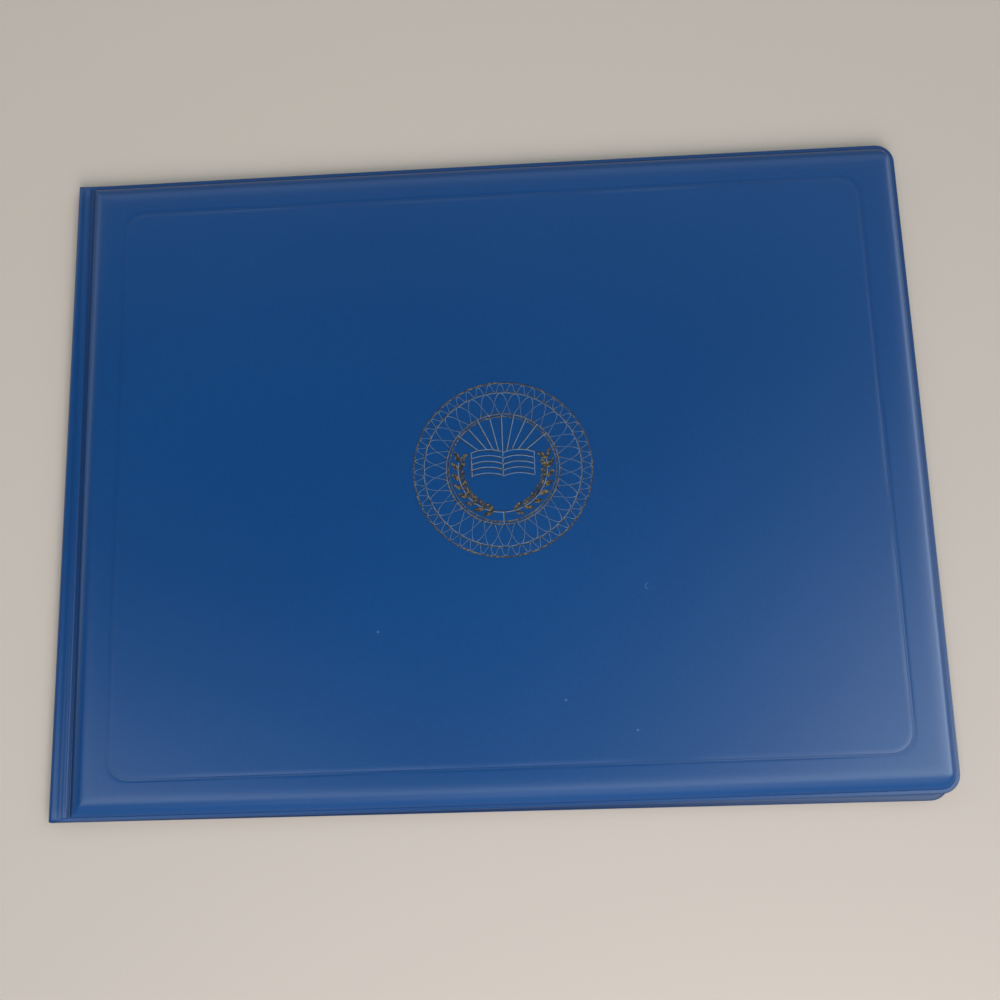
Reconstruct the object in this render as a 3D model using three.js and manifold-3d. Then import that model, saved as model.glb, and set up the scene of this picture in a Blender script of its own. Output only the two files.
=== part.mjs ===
// A padded vinyl diploma cover, closed and lying flat, in millimetres with +Z up.
// Each cover is a welded envelope: vinyl skin, foam pad, board and lining, stacked outwards from its
// inner face. A folded vinyl spine joins the two covers along -X.
import * as THREE from "three";
import { mergeVertices } from "three/addons/utils/BufferGeometryUtils.js";
import Module from "manifold-3d";

const wasm = await Module();
wasm.setup();

// The certificate that the cover holds, and how much larger the closed cover is
const sheetWidth = 279.4;
const sheetHeight = 215.9;
const widthAllowance = 24.6;
const heightAllowance = 15.6;

// Closed cover, from the fold to the fore-edge and from the bottom to the top of the page
const coverWidth = sheetWidth + widthAllowance;
const coverHeight = sheetHeight + heightAllowance;
const foreCornerRadius = 6.5;
const foldCornerRadius = 0.5;

// Sheets, boards and pads
const skinThickness = 0.4;
const weldThickness = 0.25;
const liningThickness = 0.25;
const boardThickness = 1.25;
const foamThickness = 1.25;
const layerGap = 0.05;

// Padded rise of each cover
const weldWidth = 1.2;
const slopeWidth = 4.2;
const slopeRoundness = 2;
const boardInset = 3.4;
const foamEdgeClearance = 0.3;

// Spine: a half round fold, a flat strip with two pressed bars, then the padded cover
const spineStripWidth = 7.6;
const foldInnerRadius = 0.5;
const hingeClearance = 0.25;
const barEndInset = 2;
const foldBar = { start: 3.5, width: 1.4, depth: 0.1 };
const weldBar = { start: 6.1, width: 1.1, depth: 0.2 };

// Thin line pressed round the front cover, by its distance from each edge
const lineInset = { fold: 20.8, fore: 14.3, low: 13.1, high: 13.3 };
const lineRadius = 7.5;
const lineWidth = 0.7;
const lineDepth = 0.1;

// The front cover was folded a little off square, and it reaches further than the back cover
const frontSkew = THREE.MathUtils.degToRad(0.4);
const backSetback = 3.4;

// Certificate pocket on the back cover's inner side
const sheetOverlap = 4;
const frameThickness = 0.4;
const frameMargin = 2.2;
const frameFoldMargin = 6;
const frameRadius = 5;
const windowThickness = 0.2;
const windowLap = 12;
const closingGap = 0.3;

// Round foil stamp, by its distance from the middle of the front cover
const sealDiameter = 63;
const sealOffset = { x: 5.5, y: -0.6 };
const foilThickness = 0.1;
const foilLine = 0.5;
const borderWidth = 3.5;
const borderPoints = 48;
const bandWidth = 7.8;
const bandWaves = 16;
const innerRingGap = 0.5;
const book = { width: 22, height: 8.4, rise: 1.6, lines: 5 };
const wreath = { radius: 15.4, reach: 1.75, leaves: 8, leafLength: 4.4, leafWidth: 1.5, lean: 0.55 };
const rays = { count: 9, spread: 1.8 };
const ringPoints = 48;
const wavePoints = 8;

const cornerSteps = 6;
const slopeSteps = 5;
const foldSteps = 10;

// Heights in a cover, from its inner face outwards
const boardBase = liningThickness + layerGap;
const foamBase = boardBase + boardThickness + layerGap;
const skinUnder = foamBase + foamThickness + layerGap;
const panelThickness = skinUnder + skinThickness;
const flangeBase = liningThickness + layerGap;
const weldTop = flangeBase + weldThickness;
const stripTop = flangeBase + skinThickness;

// Heights in the closed cover, from the surface it lies on
const backInner = panelThickness;
const windowBase = backInner + layerGap;
const frameBase = windowBase + windowThickness + layerGap;
const frontInner = frameBase + frameThickness + closingGap;
const foldOuterRadius = foldInnerRadius + stripTop;
const foldHeight = frontInner - foldInnerRadius;
const foldTangent = foldOuterRadius;
const panelStart = foldTangent + hingeClearance;

const vinyl = () => new THREE.MeshStandardMaterial({ color: 0x1d4a86, roughness: 0.5, metalness: 0 });
const liningVinyl = () => new THREE.MeshStandardMaterial({ color: 0x2a5287, roughness: 0.6, metalness: 0 });
const chipboard = () => new THREE.MeshStandardMaterial({ color: 0x9a917f, roughness: 0.9, metalness: 0 });
const foam = () => new THREE.MeshStandardMaterial({ color: 0xe6e2d6, roughness: 0.95, metalness: 0 });
const acetate = () => new THREE.MeshStandardMaterial({ color: 0xdfe6ea, roughness: 0.15, metalness: 0 });
const foil = () => new THREE.MeshStandardMaterial({ color: 0x8a8a7c, roughness: 0.4, metalness: 0.7 });

// One closed loop of points round a cover at height z. It lies the given distances inside the
// fold line, the fore-edge and the two long edges, and turns each corner on its own radius.
function ring(fold, fore, low, high, z, foldRadius, foreRadius) {
  const left = fold;
  const right = coverWidth - fore;
  const bottom = -coverHeight / 2 + low;
  const top = coverHeight / 2 - high;
  const corners = [
    [right - foreRadius, bottom + foreRadius, foreRadius, -Math.PI / 2],
    [right - foreRadius, top - foreRadius, foreRadius, 0],
    [left + foldRadius, top - foldRadius, foldRadius, Math.PI / 2],
    [left + foldRadius, bottom + foldRadius, foldRadius, Math.PI],
  ];
  const points = [];
  for (const [x, y, radius, start] of corners) {
    for (let step = 0; step <= cornerSteps; step += 1) {
      const angle = start + (step / cornerSteps) * (Math.PI / 2);
      points.push(new THREE.Vector3(x + radius * Math.cos(angle), y + radius * Math.sin(angle), z));
    }
  }
  return points;
}

// A closed body through a row of loops, with both ends capped.
function loft(rings) {
  const count = rings[0].length;
  const positions = rings.flat().flatMap((point) => point.toArray());
  const index = [];
  for (let level = 0; level < rings.length - 1; level += 1) {
    for (let side = 0; side < count; side += 1) {
      const a = level * count + side;
      const b = level * count + ((side + 1) % count);
      index.push(a, b, b + count, a, b + count, a + count);
    }
  }
  const last = (rings.length - 1) * count;
  for (const [a, b, c] of THREE.ShapeUtils.triangulateShape(rings[0], [])) {
    index.push(a, c, b);
  }
  for (const [a, b, c] of THREE.ShapeUtils.triangulateShape(rings[rings.length - 1], [])) {
    index.push(last + a, last + b, last + c);
  }
  const geometry = new THREE.BufferGeometry();
  geometry.setAttribute("position", new THREE.Float32BufferAttribute(positions, 3));
  geometry.setIndex(index);
  return geometry;
}

function toSolid(geometry) {
  const bare = geometry.clone();
  bare.deleteAttribute("normal");
  bare.deleteAttribute("uv");
  const merged = mergeVertices(bare, 1e-5);
  return new wasm.Manifold(new wasm.Mesh({
    numProp: 3,
    vertProperties: new Float32Array(merged.attributes.position.array),
    triVerts: new Uint32Array(merged.index.array),
  }));
}

function toGeometry(solid) {
  const mesh = solid.getMesh();
  const geometry = new THREE.BufferGeometry();
  geometry.setAttribute("position", new THREE.BufferAttribute(mesh.vertProperties, 3));
  geometry.setIndex(new THREE.BufferAttribute(mesh.triVerts, 1));
  return geometry;
}

function union(geometries) {
  return geometries.map(toSolid).reduce((joined, solid) => joined.add(solid));
}

function named(name, geometry, material) {
  const mesh = new THREE.Mesh(geometry, material);
  mesh.name = name;
  return mesh;
}

// Height gained after a share of the slope, steep at the weld and level where the pad begins
const padRise = (share) => 1 - (1 - share) ** slopeRoundness;
const padShare = (rise) => 1 - (1 - rise) ** (1 / slopeRoundness);

// A loop on a cover's padded slope, at a distance inside its weld
function slopeRing(distance, z) {
  const inset = weldWidth + distance;
  const foreRadius = Math.max(foreCornerRadius - inset, 1.4);
  return ring(spineStripWidth + distance, inset, inset, inset, z, foldCornerRadius, foreRadius);
}

// A bar with round ends, pressed into the flat strip beside the fold
function barCutter(bar) {
  const half = coverHeight / 2 - barEndInset - bar.width / 2;
  const outline = new THREE.Shape();
  outline.absarc(0, half, bar.width / 2, 0, Math.PI, false);
  outline.absarc(0, -half, bar.width / 2, Math.PI, 2 * Math.PI, false);
  const geometry = new THREE.ExtrudeGeometry(outline, {
    depth: panelThickness,
    bevelEnabled: false,
    curveSegments: cornerSteps,
  });
  geometry.translate(bar.start + bar.width / 2, 0, stripTop - bar.depth);
  return toSolid(geometry);
}

// The vinyl skin: a hollow padded rise with a thin flange, open on its inner side
function makeSkin(start, bars, line) {
  const rings = [];
  for (let step = slopeSteps; step >= 0; step -= 1) {
    const share = step / slopeSteps;
    const z = flangeBase + padRise(share) * (skinUnder - flangeBase);
    rings.push(slopeRing(skinThickness + share * slopeWidth, z));
  }
  const edge = weldThickness / 2;
  rings.push(ring(start, 0, 0, 0, flangeBase, foldCornerRadius, foreCornerRadius));
  rings.push(ring(start, 0, 0, 0, weldTop, foldCornerRadius, foreCornerRadius));
  rings.push(ring(start + edge, weldWidth, weldWidth, weldWidth, stripTop, foldCornerRadius,
    foreCornerRadius - weldWidth));
  for (let step = 0; step <= slopeSteps; step += 1) {
    const share = step / slopeSteps;
    const z = stripTop + padRise(share) * (panelThickness - stripTop);
    rings.push(slopeRing(edge + share * slopeWidth, z));
  }
  if (line) {
    for (const [offset, drop] of [[-0.5, 0], [0, lineDepth], [0.5, 0]]) {
      const shift = offset * lineWidth;
      rings.push(ring(line.fold + shift, line.fore + shift, line.low + shift, line.high + shift,
        panelThickness - drop, lineRadius - shift, lineRadius - shift));
    }
  }
  return bars.reduce((solid, bar) => solid.subtract(barCutter(bar)), toSolid(loft(rings)));
}

function makeFoam() {
  const rings = [];
  const depth = skinUnder - flangeBase;
  const first = padShare((foamBase + layerGap - flangeBase) / depth);
  for (let step = 0; step <= slopeSteps; step += 1) {
    const share = first + (1 - first) * (step / slopeSteps);
    const z = flangeBase + padRise(share) * depth - layerGap;
    rings.push(slopeRing(skinThickness + foamEdgeClearance + share * slopeWidth, z));
  }
  return loft(rings);
}

function makeBoard() {
  const distance = boardInset - weldWidth;
  return loft([
    slopeRing(distance, boardBase),
    slopeRing(distance, boardBase + boardThickness),
  ]);
}

function makeLining(start) {
  return toSolid(loft([0, liningThickness].map((z) => (
    ring(start, 0, 0, 0, z, foldCornerRadius, foreCornerRadius)))));
}

// The front cover lies turned about the lower end of the fold, and is trimmed straight at the fold.
function placeFrontCover() {
  const cover = new THREE.Group();
  cover.position.set(0, -coverHeight / 2, frontInner);
  cover.rotation.z = frontSkew;
  const turned = new THREE.Group();
  turned.position.y = coverHeight / 2;
  cover.add(turned);
  cover.updateMatrixWorld(true);

  const trim = new THREE.BoxGeometry(coverWidth, 2 * coverHeight, 4 * panelThickness);
  trim.translate(panelStart - coverWidth / 2, 0, frontInner);
  trim.applyMatrix4(turned.matrixWorld.clone().invert());
  const trimSolid = toSolid(trim);

  const skin = makeSkin(0, [foldBar, weldBar], lineInset).subtract(trimSolid);
  turned.add(
    named("front_outer_skin", toGeometry(skin), vinyl()),
    named("front_foam_pad", makeFoam(), foam()),
    named("front_board", makeBoard(), chipboard()),
    named("front_lining", toGeometry(makeLining(0).subtract(trimSolid)), liningVinyl()),
    named("cover_seal", makeSeal(), foil()),
  );
  return cover;
}

// The back cover is the same panel turned over and set back from the fore-edge.
function placeBackCover() {
  const cover = new THREE.Group();
  cover.position.set(-backSetback, 0, backInner);
  cover.rotation.x = Math.PI;
  const start = backSetback + panelStart;
  cover.add(
    named("back_outer_skin", toGeometry(makeSkin(start, [weldBar], null)), vinyl()),
    named("back_foam_pad", makeFoam(), foam()),
    named("back_board", makeBoard(), chipboard()),
    named("back_lining", toGeometry(makeLining(start)), liningVinyl()),
    named("certificate_frame", makeCertificateFrame(), liningVinyl()),
    named("clear_window", makeWindow(), acetate()),
  );
  return cover;
}

// Middle of the pocket along the cover, between the frame's two upright sides
const frameLeft = backSetback + frameFoldMargin;
const frameRight = coverWidth - frameMargin;
const pocketCentre = (frameLeft + frameRight) / 2;

function roundedRectangle(outline, width, height, radius) {
  const x = width / 2 - radius;
  const y = height / 2 - radius;
  outline.absarc(x, y, radius, 0, Math.PI / 2, false);
  outline.absarc(-x, y, radius, Math.PI / 2, Math.PI, false);
  outline.absarc(-x, -y, radius, Math.PI, 1.5 * Math.PI, false);
  outline.absarc(x, -y, radius, 1.5 * Math.PI, 2 * Math.PI, false);
  return outline;
}

function makeSheet(width, height, radius, thickness, opening) {
  const outline = roundedRectangle(new THREE.Shape(), width, height, radius);
  if (opening) {
    outline.holes.push(roundedRectangle(new THREE.Path(), ...opening));
  }
  const geometry = new THREE.ExtrudeGeometry(outline, {
    depth: thickness,
    bevelEnabled: false,
    curveSegments: cornerSteps,
  });
  geometry.translate(pocketCentre, 0, 0);
  return geometry;
}

function makeCertificateFrame() {
  const width = frameRight - frameLeft;
  const height = coverHeight - 2 * frameMargin;
  const opening = [sheetWidth - 2 * sheetOverlap, sheetHeight - 2 * sheetOverlap, lineRadius];
  const geometry = makeSheet(width, height, frameRadius, frameThickness, opening);
  geometry.translate(0, 0, backInner - frameBase - frameThickness);
  return geometry;
}

function makeWindow() {
  const width = sheetWidth - 2 * sheetOverlap + windowLap;
  const height = sheetHeight - 2 * sheetOverlap + windowLap;
  const geometry = makeSheet(width, height, lineRadius, windowThickness, null);
  geometry.translate(0, 0, backInner - windowBase - windowThickness);
  return geometry;
}

// The folded vinyl between the covers: half a tube, one wall for the skin and one for the lining
function makeFold(innerRadius, outerRadius) {
  const section = new THREE.Shape();
  section.absarc(0, 0, outerRadius, Math.PI / 2, 1.5 * Math.PI, false);
  section.absarc(0, 0, innerRadius, 1.5 * Math.PI, Math.PI / 2, true);
  const geometry = new THREE.ExtrudeGeometry(section, {
    depth: coverHeight,
    bevelEnabled: false,
    curveSegments: foldSteps,
  });
  geometry.rotateX(Math.PI / 2);
  geometry.translate(0, coverHeight / 2, 0);
  return geometry;
}

function placeSpine() {
  const spine = new THREE.Group();
  spine.position.set(foldTangent, 0, foldHeight);
  const liningRadius = foldInnerRadius + liningThickness;
  spine.add(
    named("spine_outer_skin", makeFold(liningRadius + layerGap, foldOuterRadius), vinyl()),
    named("spine_lining", makeFold(foldInnerRadius, liningRadius), liningVinyl()),
  );
  return spine;
}

function extrudeFoil(shape) {
  return new THREE.ExtrudeGeometry(shape, {
    depth: foilThickness,
    bevelEnabled: false,
    curveSegments: cornerSteps,
  });
}

// A closed line of foil, where reach gives the radius at each angle
function foilRing(reach, points) {
  const loop = (side) => Array.from({ length: points }, (_, step) => {
    const angle = (step / points) * 2 * Math.PI;
    const radius = reach(angle) + (side * foilLine) / 2;
    return new THREE.Vector2(radius * Math.cos(angle), radius * Math.sin(angle));
  });
  const shape = new THREE.Shape(loop(1));
  shape.holes.push(new THREE.Path(loop(-1)));
  return extrudeFoil(shape);
}

const polar = (radius, angle) => new THREE.Vector2(radius * Math.cos(angle), radius * Math.sin(angle));

// A straight line of foil from one place to another
function foilBar(from, to) {
  const along = to.clone().sub(from);
  const geometry = new THREE.BoxGeometry(along.length(), foilLine, foilThickness);
  geometry.rotateZ(along.angle());
  geometry.translate((from.x + to.x) / 2, (from.y + to.y) / 2, foilThickness / 2);
  return geometry;
}

// A pointed leaf with its stalk end at a place, along a heading
function foilLeaf(place, heading) {
  const { leafLength, leafWidth } = wreath;
  const leaf = new THREE.Shape();
  leaf.moveTo(-foilLine, 0);
  leaf.quadraticCurveTo(leafLength * 0.4, leafWidth, leafLength, 0);
  leaf.quadraticCurveTo(leafLength * 0.4, -leafWidth, -foilLine, 0);
  const geometry = new THREE.ExtrudeGeometry(leaf, {
    depth: foilThickness,
    bevelEnabled: false,
    curveSegments: 3,
  });
  geometry.rotateZ(heading);
  geometry.translate(place.x, place.y, 0);
  return geometry;
}

// A stem that curves up both sides from its foot, with leaves in pairs
function drawWreath(ringRadius) {
  const foot = -Math.PI / 2;
  const stem = new THREE.Shape();
  stem.absarc(0, 0, wreath.radius + foilLine / 2, foot - wreath.reach, foot + wreath.reach, false);
  stem.absarc(0, 0, wreath.radius - foilLine / 2, foot + wreath.reach, foot - wreath.reach, true);
  const pieces = [extrudeFoil(stem), foilBar(polar(wreath.radius, foot), polar(ringRadius, foot))];
  for (const side of [-1, 1]) {
    for (let leaf = 1; leaf <= wreath.leaves; leaf += 1) {
      const angle = foot + (side * wreath.reach * leaf) / wreath.leaves;
      for (const lean of [-wreath.lean, wreath.lean]) {
        pieces.push(foilLeaf(polar(wreath.radius, angle), angle + side * (Math.PI / 2) + lean));
      }
    }
  }
  return pieces;
}

// Height of a page's line above its level, where share runs from the fold to the page's edge
const pageSag = (share) => (book.height / 2) * share * (1 - share);

// A line of foil across the right page of the book
function pageLine(level) {
  const line = new THREE.Shape();
  const low = level - foilLine / 2;
  const high = level + foilLine / 2;
  line.moveTo(0, low);
  line.quadraticCurveTo(book.width / 4, low + book.height / 4, book.width / 2, low);
  line.lineTo(book.width / 2, high);
  line.quadraticCurveTo(book.width / 4, high + book.height / 4, 0, high);
  return extrudeFoil(line);
}

// An open book in lines: its pages' sagging edges and rows, its fold and its two ends
function drawBook() {
  const foot = book.rise - book.height / 2;
  const pieces = [-1, 0, 1].map((side) => foilBar(
    new THREE.Vector2((side * book.width) / 2, foot - foilLine / 2),
    new THREE.Vector2((side * book.width) / 2, foot + book.height + foilLine / 2),
  ));
  for (let row = 0; row < book.lines; row += 1) {
    const right = pageLine(foot + (row / (book.lines - 1)) * book.height);
    const left = right.clone().rotateY(Math.PI).translate(0, 0, foilThickness);
    pieces.push(right, left);
  }
  return pieces;
}

// Rays from the book's upper edge to the inner ring
function drawRays(ringRadius) {
  const head = book.rise + book.height / 2;
  return Array.from({ length: rays.count }, (_, ray) => {
    const angle = Math.PI / 2 + (ray / (rays.count - 1) - 0.5) * rays.spread;
    const share = Math.min(Math.abs(head / Math.tan(angle)) / (book.width / 2), 1);
    return foilBar(polar((head + pageSag(share)) / Math.sin(angle), angle), polar(ringRadius, angle));
  });
}

// The foil stamp: a zigzag border, a band of crossing waves, and a book with rays over a wreath
function makeSeal() {
  const outer = sealDiameter / 2 - foilLine / 2;
  const middle = outer - borderWidth;
  const inner = middle - bandWidth;
  const innermost = inner - foilLine - innerRingGap;
  const pieces = [outer, middle, inner, innermost].map((radius) => foilRing(() => radius, ringPoints));
  const zigzag = (angle) => (outer + middle + borderWidth * Math.cos(borderPoints * angle)) / 2;
  pieces.push(foilRing(zigzag, 2 * borderPoints));
  for (const phase of [0, Math.PI]) {
    const wave = (angle) => (middle + inner + bandWidth * Math.cos(bandWaves * angle + phase)) / 2;
    pieces.push(foilRing(wave, bandWaves * wavePoints));
  }
  pieces.push(...drawWreath(inner), ...drawBook(), ...drawRays(inner));
  const geometry = toGeometry(union(pieces));
  geometry.translate(coverWidth / 2 + sealOffset.x, sealOffset.y, panelThickness + layerGap);
  return geometry;
}

const diplomaCover = new THREE.Group();
diplomaCover.add(placeFrontCover(), placeBackCover(), placeSpine());
diplomaCover.updateMatrixWorld(true);

// The origin is under the middle of the closed cover, on the surface it lies on.
const extent = new THREE.Box3().setFromObject(diplomaCover, true);
const middle = extent.getCenter(new THREE.Vector3());
diplomaCover.position.set(-middle.x, -middle.y, -extent.min.z);

export default diplomaCover;
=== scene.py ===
import math
import bmesh
import bpy
from mathutils import Matrix, Vector, noise


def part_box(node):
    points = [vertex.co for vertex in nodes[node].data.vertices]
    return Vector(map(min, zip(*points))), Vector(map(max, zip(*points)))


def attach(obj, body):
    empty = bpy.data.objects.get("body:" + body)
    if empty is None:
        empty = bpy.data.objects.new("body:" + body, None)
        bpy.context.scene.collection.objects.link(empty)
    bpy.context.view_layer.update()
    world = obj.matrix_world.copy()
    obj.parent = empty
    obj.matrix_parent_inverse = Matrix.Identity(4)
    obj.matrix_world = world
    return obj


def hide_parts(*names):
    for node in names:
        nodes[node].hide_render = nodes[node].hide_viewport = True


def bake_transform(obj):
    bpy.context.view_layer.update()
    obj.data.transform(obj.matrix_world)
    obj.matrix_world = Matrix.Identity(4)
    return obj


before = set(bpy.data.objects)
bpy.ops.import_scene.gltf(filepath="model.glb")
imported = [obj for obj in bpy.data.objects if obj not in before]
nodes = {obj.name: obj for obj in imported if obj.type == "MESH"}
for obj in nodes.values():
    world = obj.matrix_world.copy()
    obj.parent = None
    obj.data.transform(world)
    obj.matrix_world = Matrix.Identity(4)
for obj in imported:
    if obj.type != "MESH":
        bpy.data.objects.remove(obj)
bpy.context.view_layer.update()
mm = 0.001

# Places that the frame gives, in metres
spineLow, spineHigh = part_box("spine_outer_skin")
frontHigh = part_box("front_outer_skin")[1]
sealLow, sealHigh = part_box("cover_seal")
foldX = spineLow.x
foldZ = (spineLow.z + spineHigh.z) / 2
foldRadius = spineHigh.x - spineLow.x
foreX = frontHigh.x
lowY, highY = spineLow.y, spineHigh.y
coverTop = frontHigh.z
liningThickness = 0.25 * mm
innerRadius = foldRadius - (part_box("spine_lining")[0].x - foldX) - liningThickness
sealCentre = (sealLow + sealHigh) / 2
print("frame loaded")


class Wire:
    # one output socket of a material, so that shader maths reads as plain Python
    def __init__(self, paint, socket):
        self.paint = paint
        self.socket = socket

    def maths(self, operation, other, reflected=False):
        pair = [other, self] if reflected else [self, other]
        return self.paint.node("ShaderNodeMath", {"operation": operation}, dict(enumerate(pair)))

    def __add__(self, other):
        return self.maths("ADD", other)

    def __radd__(self, other):
        return self.maths("ADD", other, True)

    def __sub__(self, other):
        return self.maths("SUBTRACT", other)

    def __rsub__(self, other):
        return self.maths("SUBTRACT", other, True)

    def __mul__(self, other):
        return self.maths("MULTIPLY", other)

    def __truediv__(self, other):
        return self.maths("DIVIDE", other)

    def __pow__(self, other):
        return self.maths("POWER", other)

    def atLeast(self, other):
        return self.maths("MAXIMUM", other)

    def within(self, low, high):
        settings = {"interpolation_type": "SMOOTHSTEP", "clamp": True}
        return self.paint.node("ShaderNodeMapRange", settings, {0: self, 1: low, 2: high})


class Paint:
    # one material, or the world, and its nodes
    def __init__(self, name, world=None):
        self.material = world or bpy.data.materials.new(name)
        self.material.use_nodes = True
        self.tree = self.material.node_tree
        self.shader = self.tree.nodes["Background" if world else "Principled BSDF"]

    def node(self, kind, settings, inputs, output=0):
        made = self.tree.nodes.new(kind)
        for key, value in settings.items():
            setattr(made, key, value)
        for key, value in inputs.items():
            self.feed(made.inputs[key], value)
        return Wire(self, made.outputs[output])

    def feed(self, socket, value):
        if isinstance(value, Wire):
            self.tree.links.new(value.socket, socket)
        else:
            socket.default_value = value

    def place(self, stretch=(1, 1, 1), turn=0):
        here = self.node("ShaderNodeTexCoord", {}, {}, "Object")
        inputs = {"Vector": here, "Scale": stretch, "Rotation": (0, 0, turn)}
        return self.node("ShaderNodeMapping", {}, inputs)

    def speckle(self, scale, detail=2, roughness=0.5, where=None):
        inputs = {"Vector": where or self.place(), "Scale": scale,
                  "Detail": detail, "Roughness": roughness}
        return self.node("ShaderNodeTexNoise", {}, inputs)

    def cells(self, scale, feature="F1", where=None):
        inputs = {"Vector": where or self.place(), "Scale": scale}
        return self.node("ShaderNodeTexVoronoi", {"feature": feature}, inputs)

    def mark(self, name):
        return self.node("ShaderNodeAttribute", {"attribute_name": name}, {}, "Fac")

    def mix(self, share, first, second):
        inputs = {0: share, 6: first, 7: second}
        return self.node("ShaderNodeMix", {"data_type": "RGBA"}, inputs, 2)

    def axes(self, where, names):
        return [self.node("ShaderNodeSeparateXYZ", {}, {0: where}, name) for name in names]

    def gap(self, place):
        # distance from a place on the row frame
        settings = {"operation": "DISTANCE"}
        return self.node("ShaderNodeVectorMath", settings, {0: self.place(), 1: place}, "Value")

    def spot(self, place, radius):
        # 1 inside a small round mark, fading out at its rim
        return 1 - self.gap(place).within(radius * 0.5, radius)

    def arc(self, place, radius, width):
        # 1 along the left half of a small ring
        gap = self.gap(place)
        across, = self.axes(self.place(), "X")
        ring = gap.within(radius - width, radius) * (1 - gap.within(radius, radius + width))
        return ring * (place[0] - across).within(-radius / 2, radius / 2)

    def bump(self, height, distance, strength=1.0):
        inputs = {"Height": height, "Distance": distance, "Strength": strength}
        return self.node("ShaderNodeBump", {}, inputs)

    def finish(self, **inputs):
        names = {"color": "Base Color", "roughness": "Roughness", "normal": "Normal", "alpha": "Alpha",
                 "specular": "Specular IOR Level", "ior": "IOR"}
        for key, value in inputs.items():
            self.feed(self.shader.inputs[names[key]], value)
        return self.material


def colour(red, green, blue):
    # a colour given as it looks on a screen, 0 to 255
    def straight(level):
        level /= 255
        return level / 12.92 if level <= 0.04045 else ((level + 0.055) / 1.055) ** 2.4
    return (straight(red), straight(green), straight(blue), 1)


# Blue vinyl: a smooth calendered sheet with a faint grain, darker and glossier where it was welded
vinylLook = {
    "body": colour(0, 45, 89),
    "faded": colour(2, 49, 94),
    "welded": colour(1, 28, 62),
    "dust": colour(96, 122, 158),
    "roughness": 0.23,
    "weldRoughness": 0.22,
    "grainScale": 1500,
    "grainDepth": 0.00001,
}
# small marks on the front: dust specks with their radius, and one curved scratch
specks = [((-0.0394, -0.0563, 0.0076), 0.0005), ((0.0238, -0.0811, 0.0076), 0.0005),
          ((0.0473, -0.0916, 0.0076), 0.0005)]
scratch = {"place": (0.0531, -0.0435, 0.0076), "radius": 0.001, "width": 0.0002}


def makeVinyl(name, look):
    paint = Paint(name)
    weld = paint.mark("weld")
    cloud = paint.speckle(9, detail=1).within(0.3, 0.75)
    fine = paint.speckle(look["grainScale"], detail=3, roughness=0.6)
    leather = paint.cells(look["grainScale"] * 0.55, "SMOOTH_F1")
    sheet = paint.mix(cloud * 0.5, look["body"], look["faded"])
    mottled = paint.mix(fine.within(0.3, 0.75) * 0.25, sheet, look["welded"])
    finished = paint.mix(weld * 0.8, mottled, look["welded"])
    marks = paint.arc(**scratch)
    for place, radius in specks:
        marks = marks.atLeast(paint.spot(place, radius))
    finished = paint.mix(marks * 0.35, finished, look["dust"])
    rough = look["roughness"] + fine * 0.04
    rough = rough - weld * (look["roughness"] - look["weldRoughness"])
    grain = (fine * 0.6 + leather * 0.4) * (1 - weld * 0.6)
    normal = paint.bump(grain, look["grainDepth"], 0.6)
    return paint.finish(color=finished, roughness=rough, normal=normal)


def makeLiningVinyl():
    look = dict(vinylLook, body=colour(7, 46, 90), faded=colour(10, 51, 96), roughness=0.4)
    return makeVinyl("liningVinyl", look)


def makeChipboard():
    paint = Paint("chipboard")
    fibre = paint.speckle(420, detail=4, where=paint.place((1, 4, 1)))
    flecks = paint.cells(900).within(0.05, 0.25)
    tone = paint.mix(fibre, colour(150, 138, 116), colour(176, 164, 142))
    tone = paint.mix((1 - flecks) * 0.5, tone, colour(96, 86, 70))
    return paint.finish(color=tone, roughness=0.9, normal=paint.bump(fibre, 0.00008))


def makeFoam():
    paint = Paint("foamSheet")
    pores = paint.cells(1400)
    tone = paint.mix(pores.within(0.0, 0.6), colour(186, 180, 160), colour(232, 228, 214))
    return paint.finish(color=tone, roughness=0.95, normal=paint.bump(pores, 0.0002))


def makeClearSheet():
    paint = Paint("clearSheet")
    haze = paint.speckle(30, detail=4)
    scuffs = paint.speckle(700, detail=2, where=paint.place((0.03, 1, 1), 0.6)).within(0.68, 0.75)
    return paint.finish(color=colour(214, 222, 228), roughness=0.08 + haze * 0.08 + scuffs * 0.3,
                        alpha=0.14 + haze * 0.05 + scuffs * 0.12, ior=1.49)


def makeFoil():
    # a foil line carries a painted highlight along one side and is dark along the other, and leaves are dark
    # with gold flecks
    paint = Paint("sealFoil")
    across = paint.mark("across")
    dense = paint.mark("dense")
    blotch = paint.speckle(160, detail=4, roughness=0.7)
    worn = paint.speckle(700, detail=3, roughness=0.7).within(0.5, 0.66)
    flecks = paint.speckle(1500, detail=2, roughness=0.6).within(0.5, 0.62)
    # painted highlight: a pale blue tone laid along one side of every line, where its across mark is low
    paintedHighlight = paint.mix(blotch.within(0.3, 0.7), colour(52, 78, 114), colour(98, 116, 138))
    edge = paint.mix(blotch.within(0.35, 0.65), colour(4, 6, 12), colour(30, 27, 20))
    line = paint.mix((across + (blotch - 0.5) * 1.2).within(0.3, 0.5), paintedHighlight, edge)
    leafTone = paint.mix(flecks, colour(11, 14, 20), colour(92, 76, 40))
    foil = paint.mix(dense, line, leafTone)
    tone = paint.mix(worn * 0.4, foil, vinylLook["body"])
    return paint.finish(color=tone, roughness=0.4 + worn * 0.1, specular=0.4,
                        normal=paint.bump(blotch, 0.00004))


vinyl = makeVinyl("coverVinyl", vinylLook)
liningVinyl = makeLiningVinyl()
print("materials mixed")


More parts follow.
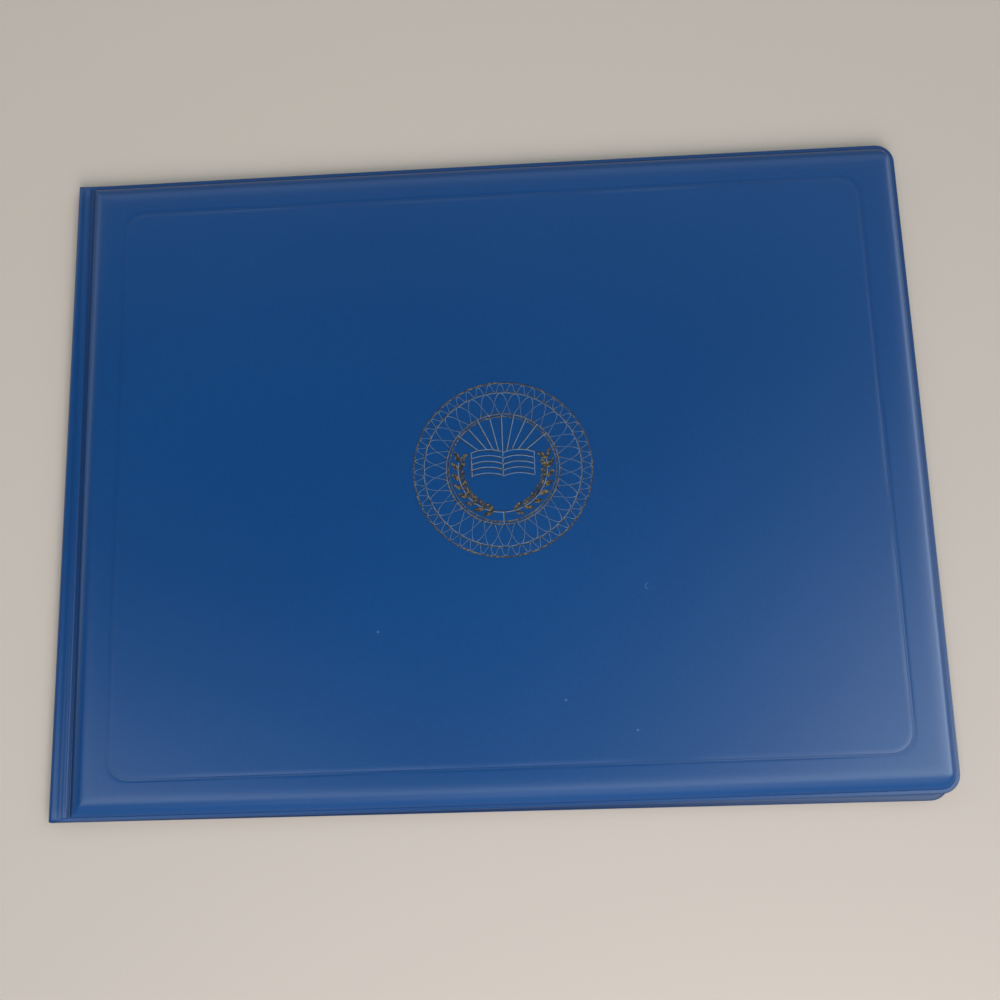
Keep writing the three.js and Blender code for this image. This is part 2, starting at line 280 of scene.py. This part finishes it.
def newPiece(name, bm, material, smoothAngle=40):
    mesh = bpy.data.meshes.new(name)
    bm.normal_update()
    bm.to_mesh(mesh)
    bm.free()
    mesh.materials.append(material)
    mesh.shade_smooth()
    mesh.set_sharp_from_angle(angle=math.radians(smoothAngle))
    piece = bpy.data.objects.new(name, mesh)
    bpy.context.scene.collection.objects.link(piece)
    return piece


def smoothStep(low, high, value):
    share = min(1, max(0, (value - low) / (high - low)))
    return share * share * (3 - 2 * share)


# A cover's sheet is drawn as nested loops. Each loop has the same stations: a row along each side
# and an arc at each corner, counted from the lower fore-edge corner.
stations = {"corner": 8, "long": 76, "short": 58}
sideCounts = [stations["short"], stations["long"], stations["short"], stations["long"]]
stationCount = 4 * stations["corner"] + sum(sideCounts)


def stationPlace(station, loop):
    # place in millimetres from the fold line and the cover's lower edge, and its share of the fold side
    width, height = cover["width"], cover["height"]
    left, right = loop["fold"], width - loop["fore"]
    low, high = loop["low"], height - loop["high"]
    foldCorner, foreCorner = loop["foldCorner"], loop["foreCorner"]
    corners = [(right - foreCorner, low + foreCorner, foreCorner),
               (right - foreCorner, high - foreCorner, foreCorner),
               (left + foldCorner, high - foldCorner, foldCorner),
               (left + foldCorner, low + foldCorner, foldCorner)]
    for corner, (x, y, radius) in enumerate(corners):
        start = (corner - 1) * math.pi / 2
        if station <= stations["corner"]:
            share = station / stations["corner"]
            angle = start + share * math.pi / 2
            foldShare = {2: share, 3: 1 - share}.get(corner, 0)
            return x + radius * math.cos(angle), y + radius * math.sin(angle), foldShare
        station -= stations["corner"]
        if station < sideCounts[corner]:
            share = station / sideCounts[corner]
            nextX, nextY, nextRadius = corners[(corner + 1) % 4]
            endAngle = start + math.pi / 2
            fromX, fromY = x + radius * math.cos(endAngle), y + radius * math.sin(endAngle)
            toX, toY = nextX + nextRadius * math.cos(endAngle), nextY + nextRadius * math.sin(endAngle)
            return fromX + share * (toX - fromX), fromY + share * (toY - fromY), float(corner == 2)
        station -= sideCounts[corner]


def bendOverFold(x, radius):
    # height of a sheet above the fold's middle, where it turns round the fold on the given radius
    inside = x - (cover["foldRadius"] - radius)
    return radius if inside >= radius else math.sqrt(max(0, radius ** 2 - (radius - inside) ** 2))


def drawSheet(loops, shape, radius):
    # one surface through the loops: it starts as a circle and grows inwards, edge by edge
    bm = bmesh.new()
    number = bm.verts.layers.int.new("station")
    weld = bm.verts.layers.float.new("weld")
    bmesh.ops.create_circle(bm, cap_ends=False, segments=stationCount, radius=1)
    for index, vert in enumerate(bm.verts):
        vert[number] = index
    rim = list(bm.edges)
    verts = list(bm.verts)
    for step, loop in enumerate(loops):
        if step:
            grown = bmesh.ops.extrude_edge_only(bm, edges=rim)["geom"]
            verts = [part for part in grown if isinstance(part, bmesh.types.BMVert)]
            fresh = set(verts)
            edges = [part for part in grown if isinstance(part, bmesh.types.BMEdge)]
            rim = [edge for edge in edges if set(edge.verts) <= fresh]
        for vert in verts:
            x, y, foldShare = stationPlace(vert[number], loop)
            rise = loop["rise"] + foldShare * (loop["foldRise"] - loop["rise"])
            vert[weld] = loop["weld"] + foldShare * (loop["foldWeld"] - loop["weld"])
            x, y, rise = shape(x, y, rise, loop)
            vert.co = (x, y, bendOverFold(x, radius) + rise)
    bmesh.ops.edgeloop_fill(bm, edges=rim)
    return bm


def toFrame(bm, under=False):
    # from millimetres beside the fold to the row frame; under turns the sheet over for the back cover
    side = -1 if under else 1
    matrix = Matrix.Translation((foldX, lowY, foldZ)) @ Matrix.Diagonal((mm, mm, side * mm, 1))
    bm.transform(matrix)
    bmesh.ops.recalc_face_normals(bm, faces=bm.faces)


def thicken(bm, thickness, outward):
    # the sheet's drawn face looks outward, where outward is +1 up and -1 down
    bm.normal_update()
    largest = max(bm.faces, key=lambda face: face.calc_area())
    if largest.normal.z * outward < 0:
        bmesh.ops.reverse_faces(bm, faces=bm.faces)
    bmesh.ops.solidify(bm, geom=bm.faces, thickness=thickness)
    bmesh.ops.recalc_face_normals(bm, faces=bm.faces)


# The padded cover, in millimetres
cover = {
    "width": (foreX - foldX) / mm,
    "height": (highY - lowY) / mm,
    "foldRadius": foldRadius / mm,
    "top": (coverTop - foldZ - foldRadius) / mm,
    "foreCorner": 6.5,
    "foldCorner": 0.5,
    "crestCorner": 1.2,
    "foldCrestCorner": 0.6,
    "smallestCorner": 0.8,
    "strip": 7.6,
    "weldWidth": 1.2,
    "slopeWidth": 4.2,
    "foreSlope": 2,
    "shoulder": 12,
    "slopeRoundness": 6,
    "weldDrop": 0.15,
    "sheet": 0.3,
    "bend": 4,
}
bendEnd = foldX + cover["bend"] * mm
coverSides = ("fold", "fore", "low", "high")
pressedLine = {"fold": 20.8, "fore": 14.3, "low": 13.1, "high": 13.3, "radius": 7.5, "width": 1,
               "depth": 0.03, "tone": 0.6}
# the welded rim: how fast it widens from the fold, how its cut edge droops and where its gloss ends
weldRim = {"growth": 0.6, "droop": 0.05, "droopLength": 0.1, "glossEnds": (0.25, 0.6),
           "slopeGloss": 0.7, "slopeGlossEnd": 0.12}
# loops on the plateau inside the line: the gaps between them grow
plateau = {"first": 2, "last": cover["height"] / 2 - 14, "gap": 0.6, "growth": 0.4, "widestGap": 3.6}
# offset, and which of the line's two fine grooves lies there
pressedSection = [(-0.5, 0), (-0.3, 1), (-0.1, 0), (0.1, 0), (0.3, 2), (0.5, 0)]
# distance from the fold, height and weld gloss across the strip beside the fold
stripProfile = [(0, 0, 0), (0.06, 0, 0), (0.25, 0, 0), (0.6, 0, 0), (1.1, 0, 0), (2.0, 0, 0), (2.9, 0.01, 0),
                (3.2, -0.02, 0.2), (3.5, -0.08, 0.5), (4.1, -0.09, 0.4), (4.6, -0.08, 0.3), (4.9, -0.01, 0),
                (5.3, 0.02, 0), (5.8, 0.01, 0), (6.1, -0.04, 0.4), (6.35, -0.17, 1), (6.8, -0.2, 1),
                (7.15, -0.16, 1), (7.35, -0.1, 0.8)]


def loopAt(fold, side, rise, foldRise, weld, foldWeld, foreCorner, foldCorner=None):
    return {"fold": fold, "fore": side, "low": side, "high": side, "rise": rise, "foldRise": foldRise,
            "weld": weld, "foldWeld": foldWeld, "foreCorner": foreCorner,
            "foldCorner": foldCorner or cover["foldCorner"]}


def insetLoop(line, offset, tone=0):
    # a loop on the plateau at an even offset inside the pressed line
    corner = max(line["radius"] - offset, cover["smallestCorner"])
    loop = loopAt(0, 0, cover["top"], cover["top"], tone, tone, corner, corner)
    for side in coverSides:
        loop[side] = line[side] + offset
    return loop


def climbAt(side):
    # height of the padded rise, which starts steeply at the weld and flattens slowly towards the plateau
    share = max(0, 1 - (side - cover["weldWidth"]) / cover["shoulder"])
    return cover["top"] - (cover["top"] + cover["weldDrop"]) * share ** cover["slopeRoundness"]


def shellLoops(strip, profile, line, foreShift):
    loops = []
    drop = -cover["weldDrop"]
    for place, rise, gloss in profile:
        side = cover["weldWidth"] * (place / strip) ** weldRim["growth"]
        edge = drop - weldRim["droop"] * math.exp(-place / weldRim["droopLength"])
        rim = 1 - smoothStep(*weldRim["glossEnds"], side)
        loops.append(loopAt(place, side, edge, rise, rim, gloss, cover["foreCorner"] - side))
    slopeSteps = 12
    for step in range(slopeSteps + 1):
        share = step / slopeSteps
        side = cover["weldWidth"] + share * cover["slopeWidth"]
        gloss = weldRim["slopeGloss"] * (1 - smoothStep(0, weldRim["slopeGlossEnd"], share))
        rise = climbAt(side)
        loops.append(loopAt(strip + share * cover["slopeWidth"], side, rise, rise, gloss, gloss,
                            max(cover["foreCorner"] - side, cover["crestCorner"])))
        loops[-1]["fore"] = cover["weldWidth"] + share * cover["foreSlope"]
    crest = loops[-1]
    approach = 9
    for step in range(1, approach + 1):
        share = step / (approach + 1)
        loop = dict(crest, weld=0, foldWeld=0)
        for side in coverSides:
            loop[side] += share * (line[side] - line["width"] / 2 - loop[side])
        loop["rise"] = loop["foldRise"] = climbAt(loop["low"])
        crestCorners = {"foreCorner": cover["crestCorner"], "foldCorner": cover["foldCrestCorner"]}
        for corner, start in crestCorners.items():
            loop[corner] = start + share * (line["radius"] - start)
        loops.append(loop)
    for offset, groove in line["section"]:
        loops.append(insetLoop(line, offset, line["tone"] if groove else 0))
        loops[-1]["groove"] = groove
    inner = plateau["first"]
    while inner < plateau["last"]:
        loops.append(insetLoop(line, inner))
        inner += min(plateau["widestGap"], plateau["gap"] + inner * plateau["growth"])
    for loop in loops:
        loop["fore"] += foreShift
    return loops


def waviness(x, y, seed, length, height):
    return height * noise.noise(Vector((x / length, y / length, seed)))


def padWave(x, y):
    # soft unevenness of the pad under the vinyl, in millimetres: a long wave and a short one
    return waviness(x, y, 3, 70, 0.09) + waviness(x, y, 8, 22, 0.02)


# The front lies off square by the skew, its edges bow and the fold's upper end stands out
frontTurn = {"skew": math.radians(0.4), "fade": 4, "bow": 0.25, "foldEnd": 0.5, "foldEndLength": 6}
backSetback = 3.4
backWaveShift = 400
grooveFading = {"length": 26, "seedStep": 9}


def turnFront(x, y):
    # the front cover lies turned about the lower end of the fold
    skew = math.sin(frontTurn["skew"])
    return x - y * skew * smoothStep(0, frontTurn["fade"], x), y + x * skew


def bowEdges(x, y):
    # the long edges and the fore-edge swell a little in their middle, and the fold's end stands out
    along, up = x / cover["width"] * 2 - 1, y / cover["height"] * 2 - 1
    swell = frontTurn["bow"]
    stand = frontTurn["foldEnd"] * math.exp(-x / frontTurn["foldEndLength"]) * smoothStep(0.8, 1, up)
    bowedX = x + swell * smoothStep(0, 1, along) * (1 - up * up)
    return bowedX, y + swell * up ** 5 * (1 - along ** 2) + stand


def shapeFront(x, y, rise, loop):
    groove = loop.get("groove")
    if groove:
        fading = waviness(x, y, groove * grooveFading["seedStep"], grooveFading["length"], 1)
        rise -= pressedLine["depth"] * smoothStep(-0.8, 0.4, fading)
    x, y = turnFront(*bowEdges(x, y))
    return x, y, rise + max(0, rise) / cover["top"] * padWave(x, y)


def shapeBack(x, y, rise, loop):
    return x, y, rise + max(0, rise) / cover["top"] * padWave(x + backWaveShift, y)


def makeFrontShell():
    line = dict(pressedLine, section=pressedSection)
    bm = drawSheet(shellLoops(cover["strip"], stripProfile, line, 0), shapeFront, cover["foldRadius"])
    toFrame(bm)
    thicken(bm, cover["sheet"] * mm, 1)
    piece = newPiece("frontVinyl", bm, vinyl)
    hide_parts("front_outer_skin", "spine_outer_skin")
    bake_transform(piece)


def makeBackShell():
    strip = cover["strip"] - backSetback
    profile = [(place, 0, 0) for place, rise, gloss in stripProfile if place < 1.2]
    profile += [(place - backSetback, rise, gloss) for place, rise, gloss in stripProfile if place > 5.2]
    plain = dict(pressedLine, section=[(0, 0)])
    bm = drawSheet(shellLoops(strip, profile, plain, backSetback), shapeBack, cover["foldRadius"])
    toFrame(bm, under=True)
    thicken(bm, cover["sheet"] * mm, -1)
    piece = newPiece("backVinyl", bm, vinyl)
    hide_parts("back_outer_skin")
    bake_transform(piece)


# distance from the fold, distance from the other edges, height and weld gloss near the lining's rim
liningProfile = [(0, 0, 0, 1), (0.05, 0.05, 0.05, 1), (0.2, 0.3, 0.06, 1), (0.5, 0.7, 0.06, 1),
                 (1.0, 1.0, 0.06, 1), (2.0, 1.3, 0.06, 1), (3.5, 1.5, 0, 0.2), (5, 1.8, 0, 0), (8, 4, 0, 0)]


def liningLoops(foreShift):
    start = cover["foldRadius"] - innerRadius / mm
    loops = []
    for place, side, rise, gloss in liningProfile:
        loops.append(loopAt(start + place, side, rise, 0, gloss, 0, cover["foreCorner"] - side))
    inner = 8
    while inner < cover["height"] / 2 - 6:
        loops.append(loopAt(start + inner + 4, inner, 0, 0, 0, 0,
                            max(cover["foreCorner"] - inner, cover["smallestCorner"])))
        inner += 6
    for loop in loops:
        loop["fore"] += foreShift
    return loops


def turnLining(x, y, rise, loop):
    return *turnFront(x, y), rise


def flatLining(x, y, rise, loop):
    return x, y, rise


def makeLinings():
    front = drawSheet(liningLoops(0), turnLining, innerRadius / mm)
    toFrame(front)
    thicken(front, liningThickness, -1)
    frontPiece = newPiece("frontLining", front, liningVinyl)
    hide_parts("front_lining", "spine_lining")
    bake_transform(frontPiece)
    back = drawSheet(liningLoops(backSetback), flatLining, innerRadius / mm)
    toFrame(back, under=True)
    thicken(back, liningThickness, 1)
    backPiece = newPiece("backLining", back, liningVinyl)
    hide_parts("back_lining")
    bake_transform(backPiece)


makeFrontShell()
makeBackShell()
makeLinings()
print("vinyl sheets drawn")


# Foam pads: soft slabs with rounded edges, a little uneven
foamPad = {"edgeRound": 0.5, "unevenness": 0.05, "cell": 4, "margin": 2, "thicknessShare": 0.8,
           "wavesPerMetre": 60}


def makeFoamPad(node, name, body, material, turn):
    low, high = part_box(node)
    size = high - low
    steps = [round(side / (foamPad["cell"] * mm)) for side in (size.x, size.y)]
    bm = bmesh.new()
    bmesh.ops.create_grid(bm, x_segments=steps[0], y_segments=steps[1], size=0.5)
    bmesh.ops.scale(bm, vec=[side - 2 * foamPad["margin"] * mm for side in size.xy] + [1], verts=bm.verts)
    bmesh.ops.rotate(bm, matrix=Matrix.Rotation(turn, 3, "Z"), verts=bm.verts)
    bmesh.ops.translate(bm, vec=(low + high) / 2, verts=bm.verts)
    for vert in bm.verts:
        vert.co.z += foamPad["unevenness"] * mm * noise.noise(vert.co * foamPad["wavesPerMetre"])
    bmesh.ops.solidify(bm, geom=bm.faces, thickness=size.z * foamPad["thicknessShare"])
    meanHeight = sum(vert.co.z for vert in bm.verts) / len(bm.verts)
    bmesh.ops.translate(bm, vec=(0, 0, (low.z + high.z) / 2 - meanHeight), verts=bm.verts)
    bmesh.ops.recalc_face_normals(bm, faces=bm.faces)
    piece = newPiece(name, bm, material, 60)
    soften = piece.modifiers.new("edgeRound", "BEVEL")
    soften.width = foamPad["edgeRound"] * mm
    soften.segments = 3
    soften.limit_method = "ANGLE"
    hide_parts(node)
    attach(piece, body)


foamMaterial = makeFoam()
makeFoamPad("front_foam_pad", "frontFoam", "front_cover", foamMaterial, frontTurn["skew"])
makeFoamPad("back_foam_pad", "backFoam", "back_cover", foamMaterial, 0)
print("foam pads made")


# The foil stamp, in millimetres from its middle: the same drawing as the solid's, in slightly bolder lines
seal = {
    "radius": (sealHigh.x - sealLow.x) / 2 / mm - 0.25,
    "line": 0.6,
    "border": 3.5,
    "borderPoints": 48,
    "band": 7.8,
    "bandWaves": 16,
    "ringGap": 1,
    "foil": 0.035,
}
book = {"width": 22, "height": 8.4, "rise": 1.6, "lines": 5}
wreath = {"radius": 15.4, "reach": 1.75, "leaves": 8, "leafLength": 4.4, "leafWidth": 1.5, "lean": 0.55}
rays = {"count": 9, "spread": 1.8}


class Stamp:
    # foil drawn flat; each point is marked with its place across its line and with how dense the foil is
    def __init__(self):
        self.bm = bmesh.new()
        self.across = self.bm.verts.layers.float.new("across")
        self.dense = self.bm.verts.layers.float.new("dense")

    def ring(self, reach, segments, dense=0):
        outer = bmesh.ops.create_circle(self.bm, cap_ends=False, segments=segments, radius=1)["verts"]
        edges = list({edge for vert in outer for edge in vert.link_edges})
        grown = bmesh.ops.extrude_edge_only(self.bm, edges=edges)["geom"]
        inner = [part for part in grown if isinstance(part, bmesh.types.BMVert)]
        for verts, side in ((outer, 0.5), (inner, -0.5)):
            for vert in verts:
                angle = math.atan2(vert.co.y, vert.co.x)
                vert.co = (*polar(reach(angle) + side * seal["line"], angle), 0)
                vert[self.across] = side + 0.5
                vert[self.dense] = dense

    def stroke(self, start, end, width=seal["line"]):
        start, end = Vector(start), Vector(end)
        along = end - start
        turn = Matrix.Rotation(math.atan2(along.y, along.x), 4, "Z")
        middle = Matrix.Translation((*((start + end) / 2), 0))
        size = Matrix.Diagonal((along.length / 2, width / 2, 1, 1))
        made = bmesh.ops.create_grid(self.bm, x_segments=1, y_segments=1, size=1,
                                     matrix=middle @ turn @ size)
        for vert in made["verts"][2:]:
            vert[self.across] = 1

    def curve(self, points):
        for start, end in zip(points, points[1:]):
            self.stroke(start, end)

    def leaf(self, place, heading):
        turn = Matrix.Translation((*place, 0)) @ Matrix.Rotation(heading, 4, "Z")
        made = bmesh.ops.create_circle(self.bm, cap_ends=True, segments=16, radius=1)["verts"]
        for vert in made:
            along = (vert.co.x + 1) / 2
            half = wreath["leafWidth"] * along * (1 - along) * 2.2
            vert.co = turn @ Vector((along * wreath["leafLength"], math.copysign(half, vert.co.y), 0))
            vert[self.dense] = 1


def polar(radius, angle):
    return radius * math.cos(angle), radius * math.sin(angle)


def drawSeal(stamp):
    outer = seal["radius"]
    middle = outer - seal["border"]
    inner = middle - seal["band"]
    rings = [(outer, 0.8), (middle, 0.3), (inner, 0.5), (inner - seal["ringGap"], 0.8)]
    for radius, dense in rings:
        stamp.ring(lambda angle, radius=radius: radius, 160, dense)
    swing = seal["border"] / 2
    stamp.ring(lambda angle: (outer + middle) / 2 + swing * math.cos(seal["borderPoints"] * angle),
               6 * seal["borderPoints"])
    swing = seal["band"] / 2
    for phase in (0, math.pi):
        stamp.ring(lambda angle, phase=phase: (middle + inner) / 2
                   + swing * math.cos(seal["bandWaves"] * angle + phase), 320)
    drawWreath(stamp, inner)
    drawBook(stamp)
    drawRays(stamp, inner)


def drawWreath(stamp, ringRadius):
    foot = -math.pi / 2
    steps = 48
    bends = [foot + wreath["reach"] * (2 * step / steps - 1) for step in range(steps + 1)]
    stamp.curve([polar(wreath["radius"], bend) for bend in bends])
    stamp.stroke(polar(wreath["radius"], foot), polar(ringRadius, foot))
    for side in (-1, 1):
        for number in range(1, wreath["leaves"] + 1):
            angle = foot + side * wreath["reach"] * number / wreath["leaves"]
            for lean in (-wreath["lean"], wreath["lean"]):
                stamp.leaf(polar(wreath["radius"], angle), angle + side * math.pi / 2 + lean)


def pageSag(share):
    return book["height"] / 2 * share * (1 - share)


def drawBook(stamp):
    width, height = book["width"] / 2, book["height"]
    foot = book["rise"] - height / 2
    for side in (-1, 0, 1):
        stamp.stroke((side * width, foot), (side * width, foot + height))
    steps = 10
    for side in (-1, 1):
        for row in range(book["lines"]):
            level = foot + row / (book["lines"] - 1) * height
            shares = [step / steps for step in range(steps + 1)]
            stamp.curve([(side * width * share, level + pageSag(share)) for share in shares])


def drawRays(stamp, ringRadius):
    head = book["rise"] + book["height"] / 2
    for ray in range(rays["count"]):
        angle = math.pi / 2 + (ray / (rays["count"] - 1) - 0.5) * rays["spread"]
        share = min(abs(head / math.tan(angle)) / (book["width"] / 2), 1)
        stamp.stroke(polar((head + pageSag(share)) / math.sin(angle), angle), polar(ringRadius, angle))


def makeSeal():
    stamp = Stamp()
    drawSeal(stamp)
    bm = stamp.bm
    place = Matrix.Translation((sealCentre.x, sealCentre.y, coverTop))
    bm.transform(place @ Matrix.Rotation(frontTurn["skew"], 4, "Z") @ Matrix.Scale(mm, 4))
    for vert in bm.verts:
        vert.co.z += padWave((vert.co.x - foldX) / mm, (vert.co.y - lowY) / mm) * mm
    bmesh.ops.recalc_face_normals(bm, faces=bm.faces)
    bmesh.ops.solidify(bm, geom=bm.faces, thickness=2 * seal["foil"] * mm)
    bmesh.ops.translate(bm, vec=(0, 0, seal["foil"] * mm), verts=bm.verts)
    bmesh.ops.recalc_face_normals(bm, faces=bm.faces)
    piece = newPiece("coverSealFoil", bm, makeFoil())
    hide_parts("cover_seal")
    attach(piece, "front_cover")


makeSeal()
print("seal stamped")


def paintNode(node, material):
    nodes[node].data.materials.clear()
    nodes[node].data.materials.append(material)


chipboard = makeChipboard()
paintNode("front_board", chipboard)
paintNode("back_board", chipboard)
paintNode("certificate_frame", liningVinyl)
paintNode("clear_window", makeClearSheet())

# Table top, soft light and the camera
stageLook = {
    "tableSize": 3,
    "tableDrop": 0.0001,
    # the table's far colour, and its near colour, which is darker as painted shade
    "tableFar": colour(154, 144, 135),
    "tableNearShaded": colour(142, 133, 126),
    "cameraPlace": (0.0222, -0.10732, 0.43944),
    "cameraTurn": (12.399, 2.8117, -1.4796),
    "lens": 45.9,
    "skyLevel": 1.05,
    "skyTint": (0.9, 1, 1.04, 1),
    "lampPlace": (0.1, -0.5, 0.5),
    "lampSize": 0.5,
    "lampPower": 8,
}


def makeTable():
    bm = bmesh.new()
    bmesh.ops.create_grid(bm, x_segments=2, y_segments=2, size=stageLook["tableSize"] / 2)
    bmesh.ops.translate(bm, vec=(0, 0, -stageLook["tableDrop"]), verts=bm.verts)
    paint = Paint("tableTop")
    across, along = paint.axes(paint.place(), "XY")
    # the table gets darker towards the near right side: painted shade, broken up by a faint random tone
    paintedNearShade = (across * 0.35 - along + paint.speckle(3) * 0.08).within(-0.3, 0.25)
    tone = paint.mix(paintedNearShade, stageLook["tableFar"], stageLook["tableNearShaded"])
    material = paint.finish(color=tone, roughness=0.7, specular=0.3)
    mesh = bpy.data.meshes.new("tableTop")
    bm.to_mesh(mesh)
    bm.free()
    mesh.materials.append(material)
    table = bpy.data.objects.new("tableTop", mesh)
    bpy.context.scene.collection.objects.link(table)


def makeLamp():
    # a broad lamp over the viewer's side that lights the surfaces and isn't mirrored in them
    data = bpy.data.lights.new("softLamp", "AREA")
    data.size = stageLook["lampSize"]
    data.energy = stageLook["lampPower"]
    lamp = bpy.data.objects.new("softLamp", data)
    lamp.location = stageLook["lampPlace"]
    lamp.rotation_euler = (-Vector(stageLook["lampPlace"])).to_track_quat("-Z", "Y").to_euler()
    lamp.visible_glossy = False
    bpy.context.scene.collection.objects.link(lamp)


def makeCamera():
    data = bpy.data.cameras.new("camera")
    data.lens = stageLook["lens"]
    data.sensor_width = 36
    camera = bpy.data.objects.new("camera", data)
    camera.location = stageLook["cameraPlace"]
    camera.rotation_euler = [math.radians(angle) for angle in stageLook["cameraTurn"]]
    bpy.context.scene.collection.objects.link(camera)
    bpy.context.scene.camera = camera


# How the room's light is spread, over the slopes of the sight line, and how strong each part of it is
roomLight = {
    "rightSlopes": (-0.02, 0.62), "right": 6,
    "leftSlopes": (0.1, 0.8), "leftEnd": (0.4, 0.8), "left": 4,
    "viewerSlopes": (0.08, 0.4), "viewerShade": 0.9,
    "lowSlopes": (0.6, 1.6), "lowShade": 0.85,
    "farSlopes": (0.4, 0.7), "farEnd": (0.9, 1.6), "far": 0.9,
    "rimSlopes": (0.8, 1.8), "rim": 0.35,
    "everywhere": 0.05,
    "lowestHeight": 0.15,
}


def makeSky():
    # a room that is dark overhead, with light from the right, less from the left and a glow low behind
    room = roomLight
    world = bpy.data.worlds.new("softRoom")
    paint = Paint("softRoom", world)
    sight = paint.axes(paint.node("ShaderNodeTexCoord", {}, {}, "Generated"), "XYZ")
    height = sight[2].atLeast(room["lowestHeight"])
    across, back = sight[0] / height, sight[1] / height
    tilt = (across * across + back * back) ** 0.5
    right = (across - back).within(*room["rightSlopes"]) * room["right"]
    left = (0 - across - back * 2).within(*room["leftSlopes"])
    left = left * (1 - (0 - across).within(*room["leftEnd"])) * room["left"]
    viewer = 1 - (0 - back).within(*room["viewerSlopes"]) * room["viewerShade"]
    low = 1 - tilt.within(*room["lowSlopes"]) * room["lowShade"]
    far = back.within(*room["farSlopes"]) * (1 - back.within(*room["farEnd"])) * room["far"]
    rim = tilt.within(*room["rimSlopes"]) * room["rim"]
    light = ((right + left) * viewer * low + far + rim + room["everywhere"]) * stageLook["skyLevel"]
    paint.feed(paint.shader.inputs["Strength"], light)
    paint.shader.inputs["Color"].default_value = stageLook["skyTint"]
    bpy.context.scene.world = world


makeTable()
makeSky()
makeLamp()
makeCamera()
bpy.context.scene.view_settings.view_transform = "Standard"
print("stage set")
